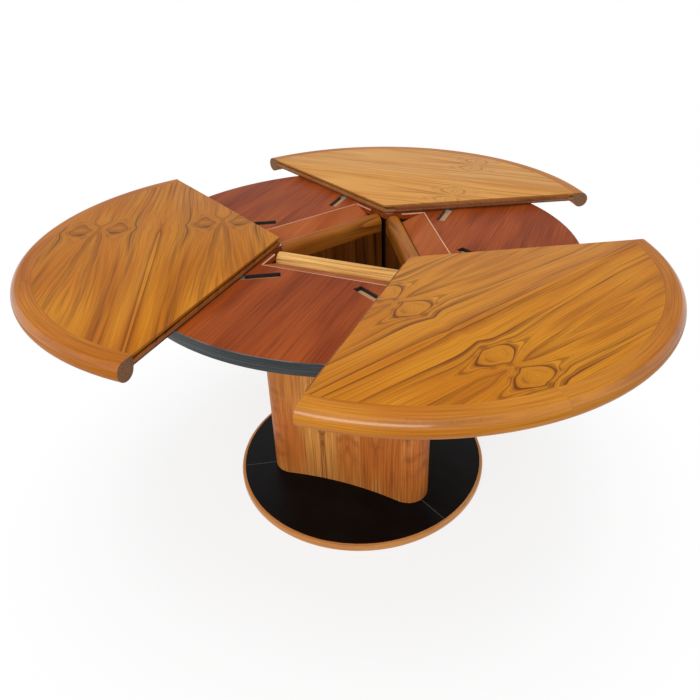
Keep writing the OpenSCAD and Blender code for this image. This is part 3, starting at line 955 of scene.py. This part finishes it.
@dataclass(frozen=True)
class BookMatch:
    """Veneer laid in mirrored strips across a sector, with one knot in each strip."""

    timber: Timber
    knot_along: float
    knot_size: float
    ring: float
    knot_length: float = 40.0
    fan: float = 0.0026
    knot_across: float = 38.0
    mirror: float = 337.0
    strip: float = 152.5
    near_shade: float = 0.1
    flat_range: Range = (0.4, 0.6)
    bleed: float = 0.2
    groove_from: float = 5.3
    core_from: float = 12.1
    foot_h: float = 3.5
    fade: float = 0.6
    foot_fade: float = 1.0
    lip: Colour = paint(170, 104, 44)
    # Painted shade: the groove colour darkens the cut groove, which stands in shade.
    groove: Colour = paint(38, 20, 12)
    core: Colour = paint(158, 102, 76)
    # Painted shade: the foot colour darkens the lowest strip of the edge for the shadow of the gap under the
    # panel.
    foot: Colour = paint(70, 38, 24)

    def material(self, shop: EffectShop, sector: Sector, top: float, plate: float) -> Material:
        """The veneer on a panel's faces, with lip, groove, core and foot on its cut edges; the dark groove
        and foot colours are painted shade.

        Args:
            shop: The shared effects.
            sector: The sector that the veneer is laid on.
            top: Height of the panel's top face in millimetres.
            plate: Thickness of the panel in millimetres.

        Returns:
            The material.
        """
        blank = Blank(self.timber.name)
        b = blank.bench
        frame = b.place(shop.plank_frame, Place=blank.place, Turn=sector.turn)
        folded = b.math("PINGPONG", frame["Out"] - self.mirror, self.strip)
        flow = b.place(shop.knot_flow, Across=folded, Along=frame["Across"], KnotAcross=self.knot_across,
                       KnotAlong=self.knot_along, Size=self.knot_size, Spread=self.knot_length, Fan=self.fan,
                       Strip=self.strip, Seed=self.timber.seed)
        veneer = self.timber.figure(shop, blank, flow["Across"], frame["Across"], flow["Depth"],
                                    (flow["Outline"] * self.ring, flow["Near"] * self.near_shade))
        below = top - frame["Up"]
        # Cut edge from the face down: lip, painted shade in the groove, core, painted shade at the foot.
        edge: object = self.lip
        for start, fade, colour in ((self.groove_from, self.fade, self.groove),
                                    (self.core_from, self.fade, self.core),
                                    (plate - self.foot_h, self.foot_fade, self.foot)):
            edge = b.blend(b.span(below, start, start + fade), edge, colour)
        flat = b.span(abs(blank.rise()), *self.flat_range)
        blank.feed("Base Color", b.blend(flat, b.blend(self.bleed, edge, veneer), veneer))
        return blank.material


@dataclass(frozen=True)
class Plain:
    """A plain finish: metal, moulded plastic, laminate or felt, with its own small marks."""

    name: str
    base: Colour
    worn: Colour
    rough: float = 0.4
    metal: float = 0.0
    grain: float = 0.3
    scratches: float = 0.2
    depth: float = 0.01
    shine: float = 0.4
    smudge: float = 0.25
    smudge_range: Range = (0.4, 0.7)
    smudge_rough: float = 0.12
    rough_range: Range = (0.35, 0.7)
    speck: float = 0.06
    seed: float = 3.0

    def material(self, shop: EffectShop) -> Material:
        """The finish with hairline scratches, smudges and a fine surface grain.

        Args:
            shop: The shared effects.

        Returns:
            The material.
        """
        blank = Blank(self.name)
        b = blank.bench
        marks = b.place(shop.fine_scratches, Place=blank.place, Seed=self.seed)
        speck = b.noise(*(value / (self.grain * MM) for value in b.split(blank.place)))
        smudged = b.span(marks["Smudge"], *self.smudge_range) * (self.smudge * self.scratches)
        worn = speck * self.speck + (marks["Scratch"] * self.scratches + smudged)
        blank.feed("Base Color", b.blend(worn, self.base, self.worn))
        blank.feed("Roughness", b.span(marks["Smudge"], *self.rough_range) * self.smudge_rough + self.rough)
        blank.set(Metallic=self.metal, Specular_IOR_Level=self.shine)
        blank.bump(speck, self.depth)
        return blank.material


@dataclass
class Sizes:
    """The table's main sizes in millimetres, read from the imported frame."""

    travel: float
    top: float
    plate: float
    top_r: float
    panel_r: float
    rim_d: float
    band_r: float
    face: float
    board_low: float

    @classmethod
    def from_frame(cls, joints: Sequence[dict]) -> "Sizes":
        """Reads the sizes from the nodes' boxes and the joints' ranges.

        Args:
            joints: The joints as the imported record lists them.

        Returns:
            The sizes.
        """
        slide = next(j for j in joints if j["name"] == f"sector_{Sector.BACK.label}_slide")
        travel = slide["range_m"][1] / MM
        panel_low, panel_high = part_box(f"sector_panel_{Sector.BACK.label}")
        rim_low, rim_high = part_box(f"sector_rim_{Sector.BACK.label}")
        band_low, band_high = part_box("edge_band")
        return cls(
            travel=travel,
            top=panel_high.z / MM,
            plate=(panel_high.z - panel_low.z) / MM,
            top_r=rim_high.y / MM - travel,
            panel_r=panel_high.y / MM - travel,
            rim_d=(rim_high.z - rim_low.z) / MM,
            band_r=band_high.x / MM,
            face=band_high.z / MM,
            board_low=band_low.z / MM,
        )


def fit(mesh: Mesh, material: Material, body: str, slot: str, *stands_for: str) -> None:
    """Puts a piece made in this script, named as its mesh is, in place of the nodes that it stands for.

    Args:
        mesh: Its mesh, in world metres.
        material: Its finish.
        body: The body that it moves with.
        slot: The record's material slot; not used.
        stands_for: The nodes that it replaces.
    """
    piece = bpy.data.objects.new(mesh.name, mesh)
    bpy.context.scene.collection.objects.link(piece)
    mesh.materials.append(material)
    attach(piece, body)
    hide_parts(*stands_for)
    log.info("%s stands for %s and wears %s", piece.name, ", ".join(stands_for), material.name)


@dataclass
class Assembly:
    """One sub-assembly of the table, with the frame's sizes and nodes and the shared effects."""

    sizes: Sizes
    nodes: dict[str, bpy.types.Object]
    shop: EffectShop

    def dress(self, material: Material, *names: str) -> None:
        """Gives nodes their one material and reports each.

        Args:
            material: The finish.
            names: The nodes' names.
        """
        for name in names:
            materials = self.nodes[name].data.materials
            materials.clear()
            materials.append(material)
            log.info("%s wears %s", name, material.name)


@dataclass
class SlidingTop(Assembly):
    """The three sectors with their rims, tongues, glides and pins."""

    half: float = HALF_SECTOR
    joint_gap: float = 0.5
    groove_drop: float = 9.0
    groove_w: float = 6.5
    groove_depth: float = 7.5
    eased: float = 0.9
    arc_steps: int = 96

    def outline(self, sector: Sector, level: float, inset: float) -> list[Point]:
        """A panel's outline at one level: its tip, then its arc from the clockwise edge round.

        Args:
            sector: The sector.
            level: Millimetres from the floor.
            inset: How far the counterclockwise edge is set back, in millimetres.

        Returns:
            The points.
        """
        gap = self.joint_gap / 2
        reach = self.sizes.panel_r
        starts = [(gap + back) / math.sin(self.half) for back in (0.0, inset)]
        flat = [(sum(starts) / 2, (starts[0] - starts[1]) / 2 * math.tan(self.half))]
        whole = self.half - math.asin(gap / reach)
        angles = [whole * (2 * step / self.arc_steps - 1) for step in range(self.arc_steps)]
        angles.append(self.half - math.asin((gap + inset) / reach))
        flat += [(reach * math.cos(angle), reach * math.sin(angle)) for angle in angles]
        return [spot(sector.turn, self.sizes.travel + x, y, level) for x, y in flat]

    def panel(self, sector: Sector) -> Mesh:
        """A sector's panel, grooved along its counterclockwise edge, with eased edges at the face.

        Args:
            sector: The sector.

        Returns:
            The mesh.
        """
        top = self.sizes.top
        high = top - self.groove_drop + self.groove_w / 2
        low = high - self.groove_w
        levels = ((top, 0.0), (high, 0.0), (high, self.groove_depth), (low, self.groove_depth), (low, 0.0),
                  (top - self.sizes.plate, 0.0))
        shaper = Shaper()
        loops = [shaper.loop(self.outline(sector, level, inset)) for level, inset in levels]
        shaper.skin(*loops)
        shaper.cap(loops[0])
        shaper.cap(loops[-1])
        shaper.ease([shaper.form.edges.get((loops[0][0], loops[0][index])) for index in (1, -1)], self.eased)
        return shaper.mesh(f"veneered_panel_{sector.label}")

    def rim(self, sector: Sector) -> Mesh:
        """A sector's round solid rim, with its two sawn ends eased.

        Args:
            sector: The sector.

        Returns:
            The mesh.
        """
        s = self.sizes
        moulding = Moulding.bullnose(s.top_r, s.panel_r, s.top, s.rim_d, s.plate)
        path = SectorArc(sector.turn, s.travel, self.half, self.joint_gap)
        return moulding.run(f"round_rim_{sector.label}", path, self.arc_steps, ease=self.eased)

    def build(self, steel: Material, ply: Material, nylon: Material) -> None:
        """Builds the panels and rims, and gives the sectors' nodes their finishes.

        Args:
            steel: Finish of the guide pins.
            ply: Finish of the tongues.
            nylon: Finish of the glides.
        """
        s = self.sizes
        look = {"lacquer": Lacquer(0.42, 0.07), "pitch": 21.0, "length": 560.0, "softness": 2.6,
                "fibre": 0.28}
        bold = {"line": 1.15, "fine_line": 0.46, "streak": 0.36}
        # Fainter lines on the back sector: partly its own figure and partly a painted reflection that veils
        # the grain.
        faint_under_sheen = {"line": 0.7, "fine_line": 0.36, "streak": 0.2}
        right = Timber("teak_top_right", TEAK, waver=1.0, seed=2.0, **look, **bold)
        left = Timber("teak_top_left", DARK_TEAK, waver=0.7, seed=9.0, **look, **bold)
        back = Timber("teak_top_back", BACK_TONE_AND_SHEEN_TEAK, waver=1.0, seed=5.0, **look, **faint_under_sheen)
        plans = {
            # The left rim takes the darker tones as painted shade for its less lit side.
            Sector.LEFT: (BookMatch(left, knot_along=-126.0, knot_size=29.0, ring=0.32, fan=0.0042),
                          SHADED_SIDE_RIM_TEAK, 150.0),
            Sector.RIGHT: (BookMatch(right, knot_along=-159.0, knot_size=34.0, knot_length=46.0, ring=0.55),
                           RIM_TEAK, -170.0),
            Sector.BACK: (BookMatch(back, knot_along=-150.0, knot_size=27.0, ring=0.4), RIM_TEAK, 40.0),
        }
        for sector, (veneer, tones, joint) in plans.items():
            label = sector.label
            body = f"sector_{label}"
            fit(self.panel(sector), veneer.material(self.shop, sector, s.top, s.plate), body, "teak_top",
                f"sector_panel_{label}")
            rim = Timber(f"teak_rim_{label}", tones, Lacquer(0.36, 0.07, grain_depth=0.03, coat=0.68),
                         pitch=21.0, softness=2.4, length=700.0, line=0.5, fine_line=0.28, streak=0.18,
                         seed=sector.value / 10)
            finish = rim.bent(self.shop, sector.turn, s.travel, s.top_r, joints=(joint,), half=self.half)
            fit(self.rim(sector), finish, body, "teak_rim", f"sector_rim_{label}")
            self.dress(ply, f"sector_tongue_{label}")
            self.dress(nylon, f"sector_glides_{label}")
            self.dress(steel, f"guide_pins_{label}")


@dataclass
class FixedBoard(Assembly):
    """The round board under the sectors, with its band, slots, brackets and runners."""

    raw_under: float = 3.2
    band_t: float = 2.0
    band_eased: float = 0.8
    ring_steps: int = 192
    bracket_l: float = 26.0
    bracket_w: float = 30.0
    bracket_t: float = 2.0
    bracket_aside: float = -6.0
    bracket_eased: float = 0.4
    screw_in: float = 18.0
    screw_steps: int = 32
    head_r: float = 4.3
    head_foot: float = -1.0
    head_edge: float = 0.1
    head_rise: float = 0.35
    crown_in: float = 0.6
    recess_depth: float = 1.3
    arm: float = 2.5
    arm_half: float = 0.55

    def corner(self, sector: Sector, out: float, across: float, level: float) -> Point:
        """A point on a bracket, from its corner of the board and the board's face, in millimetres."""
        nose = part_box("corner_brackets")[1].y / MM - self.bracket_l
        return spot(sector.turn, nose + out, self.bracket_aside + across, self.sizes.face + level)

    def brackets(self) -> Mesh:
        """The three steel angles on the board's corners, with eased edges.

        Returns:
            The mesh.
        """
        half = self.bracket_w / 2
        start = half / math.tan(HALF_SECTOR)
        plan = ((0.0, 0.0), (start, -half), (self.bracket_l, -half), (self.bracket_l, half), (start, half))
        shaper = Shaper()
        edges: list[bmesh.types.BMEdge] = []
        for sector in Sector:
            lower, upper = (shaper.loop([self.corner(sector, x, y, level) for x, y in plan])
                            for level in (-self.bracket_t, 0.0))
            shaper.skin(lower, upper)
            shaper.cap(lower)
            edges += shaper.cap(upper).edges
        # One call for all three: with three calls, the order of the faces changes from run to run
        shaper.ease(edges, self.bracket_eased)
        return shaper.mesh("corner_angles")

    def screws(self) -> Mesh:
        """The three cross-headed screws of the brackets.

        Returns:
            The mesh.
        """
        near, far = self.arm_half, self.arm
        angles = [math.tau * step / self.screw_steps for step in range(self.screw_steps)]
        cross = []
        for quarter in range(4):
            c, s = math.cos(math.pi / 2 * quarter), math.sin(math.pi / 2 * quarter)
            cross += [(x * c - y * s, x * s + y * c) for x, y in ((far, -near), (far, near), (near, near))]
        shaper = Shaper()
        for sector in Sector:
            rounds = ((self.head_r, self.head_foot), (self.head_r, self.head_edge),
                      (self.head_r - self.crown_in, self.head_rise))
            foot, shoulder, crown = (
                shaper.loop([self.corner(sector, self.screw_in + radius * math.cos(angle),
                                         radius * math.sin(angle), level) for angle in angles])
                for radius, level in rounds)
            shaper.cap(foot)
            shaper.skin(foot, shoulder, crown)
            mouth, pit = (shaper.loop([self.corner(sector, self.screw_in + x, y, level) for x, y in cross])
                          for level in (self.head_rise, self.head_rise - self.recess_depth))
            shaper.skin(mouth, pit)
            shaper.cap(pit)
            shaper.web(crown, mouth)
        return shaper.mesh("cross_head_screws")

    def build(self, steel: Material, black: Material) -> None:
        """Builds the band, brackets and screws, and gives the board's nodes their finishes.

        Args:
            steel: Finish of the brackets, screws and runners.
            black: Finish of the slot liners.
        """
        s, shop = self.sizes, self.shop
        board = Timber("mahogany_board", MAHOGANY, Lacquer(0.42, 0.05), pitch=34.0, waver=1.1, length=900.0,
                       softness=2.4, line=0.36, fine_line=0.34, streak=0.25, fibre=0.4, seed=11.0)
        self.dress(board.straight(shop, Sector.BACK.turn, raw_below=s.face - self.raw_under), "upper_board")
        # Painted shade: the lower board and column head are made near black where they face into the well.
        self.dress(board.straight(shop, Sector.BACK.turn, shaded_inward=True), "lower_board", "column_head")
        ramp = Timber("ramp_mahogany", RAMP_MAHOGANY, Lacquer(0.5, 0.06), pitch=26.0, line=0.2,
                      fine_line=0.2, seed=13.0)
        self.dress(ramp.straight(shop, Sector.BACK.turn), "recess_floors")
        black_band = Timber("black_edge_band", BLACK_BAND, Lacquer(0.34, 0.3, grain_depth=0.02), pitch=7.0,
                            waver=0.5, length=500.0, line=0.45, fine_line=0.3, fibre=0.2, seed=51.0)
        band = Moulding.edging(s.band_r - self.band_t, s.band_r, s.board_low, s.face, self.band_eased,
                               count=3)
        # The band's eased top edge gets a patchy pale line, partly wear and partly a painted highlight.
        fit(band.run("eased_edge_band", FullRing(), self.ring_steps, closed=True),
            black_band.bent(shop, 0.0, 0.0, s.band_r, tilt=1.0, crest=s.face - self.band_eased),
            "pedestal", "black_edge", "edge_band")
        inlay = Timber("pale_inlay", PALE_INLAY, Lacquer(0.5, 0.1), seed=3.0)
        self.dress(inlay.straight(shop, 0.0), "recess_inlays")
        self.dress(black, "slot_liners")
        fit(self.brackets(), steel, "pedestal", "steel", "corner_brackets")
        fit(self.screws(), steel, "pedestal", "steel", "bracket_screws")
        runners = [f"runner_{kind}_{sector.label}" for kind in ("bars", "blocks") for sector in Sector]
        self.dress(steel, "board_screws", *runners)


@dataclass
class StoredLeaves(Assembly):
    """The three leaves that stand in the column."""

    eased: float = 0.9
    steps: int = 24

    def build(self, ply: Material) -> None:
        """Builds the leaves' rims and gives the other nodes their finishes.

        Args:
            ply: Finish of the tongues.
        """
        low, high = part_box(f"leaf_rim_{Gap.FRONT.label}")
        half = high.x / MM
        moulding = Moulding.bullnose(high.z / MM, low.z / MM, -high.y / MM, self.sizes.rim_d,
                                     self.sizes.plate, upright=True)
        for gap in Gap:
            label = gap.label
            # The leaf panel's dark tones are painted shade from the well.
            panel = Timber(f"teak_leaf_{label}", SHADY_TEAK, pitch=24.0, softness=2.4, streak=0.4,
                           seed=gap.value / 7)
            self.dress(panel.straight(self.shop, gap.turn, upright=True), f"leaf_panel_{label}")
            tones = LEAF_TEAK if gap is Gap.FRONT else BROWN_TEAK
            rim = Timber(f"teak_leaf_rim_{label}", tones, Lacquer(0.4, 0.1), pitch=11.0, waver=2.2,
                         length=360.0, softness=2.2, line=0.9, fine_line=0.4, seed=gap.value / 11)
            path = LeafLine(gap.turn, half)
            crown = moulding.run(f"leaf_crown_{label}", path, self.steps, ease=self.eased)
            fit(crown, rim.straight(self.shop, gap.turn + math.pi / 2, half=half), f"leaf_{label}",
                "teak_rim", f"leaf_rim_{label}")
            self.dress(ply, f"leaf_tongue_{label}")


@dataclass
class Pedestal(Assembly):
    """The triangular column on its round base."""

    wrap_r: float = 170.0
    flame: float = 84.0
    flame_height: float = 250.0
    edge_round: float = 5.0
    ring_steps: int = 192

    def build(self, steel: Material, black: Material) -> None:
        """Builds the base's ring, and gives the column's and base's nodes their finishes.

        Args:
            steel: Finish of the rods, nuts and ballast.
            black: Finish of the leaf guides.
        """
        shop = self.shop
        veneer = Timber("teak_column", COLUMN_TEAK, Lacquer(0.42, 0.15), pitch=9.0, waver=0.3, length=1500.0,
                        softness=2.2, line=0.6, fine_line=0.35, streak=0.8, seed=17.0)
        self.dress(veneer.wrapped(shop, self.wrap_r, self.flame, self.flame_height),
                   *(f"column_post_{sector.label}" for sector in Sector),
                   *(f"column_panel_{gap.label}" for gap in Gap))
        laminate = Plain("black_laminate", paint(6, 5, 5), paint(80, 82, 86), rough=0.3, grain=0.8,
                         scratches=0.08, shine=0.08)
        self.dress(laminate.material(shop), *(f"base_top_{gap.label}" for gap in Gap))
        low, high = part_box("base_edge")
        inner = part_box(f"base_top_{Gap.FRONT.label}")[0].y / -MM
        moulding = Moulding.edging(inner, high.x / MM, low.z / MM, high.z / MM, self.edge_round)
        edge = Timber("teak_base_edge", BASE_TEAK, Lacquer(0.3, 0.2), pitch=15.0, length=600.0, line=0.4,
                      seed=23.0)
        fit(moulding.run("round_base_edge", FullRing(), self.ring_steps, closed=True),
            edge.bent(shop, 0.0, 0.0, high.x / MM), "pedestal", "teak_edge", "base_edge")
        seam = Timber("pale_seam", GREY_SEAM, Lacquer(0.5, 0.1), seed=6.0)
        self.dress(seam.straight(shop, 0.0), "base_seams")
        core = Timber("particle_board", PARTICLES, Lacquer(0.8, 0.0), pitch=4.0, length=12.0, fibre=0.5,
                      seed=29.0)
        self.dress(core.straight(shop, 0.0), "base_board")
        rest = Timber("hardwood_rest", HARDWOOD, Lacquer(0.6, 0.0), pitch=12.0, seed=37.0)
        for gap in Gap:
            self.dress(rest.straight(shop, gap.turn + math.pi / 2), f"leaf_rest_{gap.label}")
        felt = Plain("grey_felt", paint(74, 71, 68), paint(120, 116, 112), rough=0.95, grain=0.6,
                     scratches=0.0, depth=0.4)
        self.dress(felt.material(shop), "base_felt")
        self.dress(steel, "tie_rods", "tie_nuts", "base_ballast")
        self.dress(black, "leaf_guides")


@dataclass(frozen=True)
class Lamp:
    """One soft lamp: where it hangs and the point that it shines at, in metres, its sides and its power."""

    name: str
    place: Point
    aim: Point
    wide: float
    deep: float
    watts: float

    def hang(self) -> None:
        """Hangs the lamp in the scene."""
        data = bpy.data.lights.new(self.name, "AREA")
        data.shape = "RECTANGLE"
        data.size = self.wide
        data.size_y = self.deep
        data.energy = self.watts
        stand(data, self.place, self.aim)


def stand(data: bpy.types.ID, place: Point, aim: Point) -> bpy.types.Object:
    """Stands a lamp or camera in the scene.

    Args:
        data: The lamp's or camera's data.
        place: Where it stands, in metres.
        aim: The point that it looks at, in metres.

    Returns:
        The object.
    """
    thing = bpy.data.objects.new(data.name, data)
    thing.location = place
    thing.rotation_euler = (Vector(aim) - Vector(place)).to_track_quat("-Z", "Y").to_euler()
    bpy.context.scene.collection.objects.link(thing)
    return thing


@dataclass
class Studio:
    """The floor, lights, world and camera."""

    floor_r: float = 9.0
    floor_steps: int = 96
    floor_colour: Colour = (0.97, 0.97, 0.97, 1.0)
    near_r: float = 0.42
    far_r: float = 1.1
    near_white: float = 0.8
    sky_light: float = 0.34
    lamps: tuple[Lamp, ...] = (
        Lamp("key", place=(0.2, -2.9, 2.6), aim=(0.0, 0.0, 0.5), wide=2.6, deep=1.1, watts=58.0),
        Lamp("top", place=(0.1, 0.2, 3.3), aim=(0.0, 0.0, 0.6), wide=2.6, deep=2.6, watts=32.0),
    )
    sensor: float = 36.0
    lens: float = 33.3725
    shift: tuple[float, float] = (-0.05158, -0.04104)
    camera_place: Point = (0.58015, -1.40359, 1.38781)
    camera_aim: Point = (0.0737, 0.00448, 0.5)

    def floor(self) -> None:
        """Lays a pale round floor that fades to white away from the table and keeps its shadow."""
        mesh = bpy.data.meshes.new("floor")
        form = bmesh.new()
        bmesh.ops.create_circle(form, cap_ends=True, radius=self.floor_r, segments=self.floor_steps)
        form.to_mesh(mesh)
        form.free()
        floor = bpy.data.objects.new("floor", mesh)
        bpy.context.scene.collection.objects.link(floor)
        material = bpy.data.materials.new("pale_floor")
        material.use_nodes = True
        material.node_tree.nodes.clear()
        b = Bench(material.node_tree)
        pale = b.wire("ShaderNodeBsdfDiffuse", {"Color": self.floor_colour})
        white = b.wire("ShaderNodeEmission", {"Strength": 1.0})
        length = b.vector("LENGTH", b.add("ShaderNodeTexCoord").outputs["Object"])
        away = b.span(length, self.near_r, self.far_r, self.near_white, 1.0)
        joined = b.wire("ShaderNodeMixShader", {0: away * b.shown(), 1: pale, 2: white})
        b.feed(b.add("ShaderNodeOutputMaterial").inputs["Surface"], joined)
        mesh.materials.append(material)

    def world(self) -> None:
        """Makes a world that looks white, and gives the table less light than it shows."""
        world = bpy.data.worlds.new("studio")
        bpy.context.scene.world = world
        world.use_nodes = True
        world.node_tree.nodes.clear()
        b = Bench(world.node_tree)
        strength = b.shown() * (1.0 - self.sky_light) + self.sky_light
        sky = b.wire("ShaderNodeBackground", {"Color": (1.0, 1.0, 1.0, 1.0), "Strength": strength})
        b.feed(b.add("ShaderNodeOutputWorld").inputs["Surface"], sky)

    def camera(self) -> None:
        """Sets the camera where the photograph was taken from."""
        data = bpy.data.cameras.new("camera")
        data.sensor_width = self.sensor
        data.lens = self.lens
        data.shift_x, data.shift_y = self.shift
        bpy.context.scene.camera = stand(data, self.camera_place, self.camera_aim)

    def build(self) -> None:
        """Sets up the whole studio."""
        self.floor()
        self.world()
        for lamp in self.lamps:
            lamp.hang()
        self.camera()
        bpy.context.scene.view_settings.view_transform = "Standard"


def main() -> None:
    """Builds and dresses the table in the studio."""
    logging.basicConfig(level=logging.INFO, format="%(message)s")
    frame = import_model()
    nodes = frame["nodes"]
    sizes = Sizes.from_frame(frame["joints"])
    log.info("sizes %s", sizes)
    shop = EffectShop()
    steel = Plain("satin_steel", paint(222, 224, 226), paint(140, 142, 145), rough=0.32, metal=1.0,
                  grain=0.4, scratches=0.5).material(shop)
    black = Plain("black_guide", paint(20, 20, 21), paint(70, 70, 72), rough=0.5, grain=0.6).material(shop)
    nylon = Plain("dark_nylon", paint(42, 41, 40), paint(90, 90, 90), rough=0.5, grain=0.6).material(shop)
    ply = Timber("plywood_tongue", PLYWOOD, Lacquer(0.6, 0.0), pitch=3.0, seed=41.0).straight(shop, 0.0)
    # The leaves' tongues get painted shade: dark plywood for the shadow they lie in.
    shaded_leaf_ply = Timber("dark_tongue", SHADED_PLYWOOD, Lacquer(0.6, 0.0), pitch=3.0,
                      seed=43.0).straight(shop, 0.0, upright=True)
    SlidingTop(sizes, nodes, shop).build(steel, ply, nylon)
    FixedBoard(sizes, nodes, shop).build(steel, black)
    StoredLeaves(sizes, nodes, shop).build(shaded_leaf_ply)
    Pedestal(sizes, nodes, shop).build(steel, black)
    Studio().build()


if __name__ == "__main__":
    main()
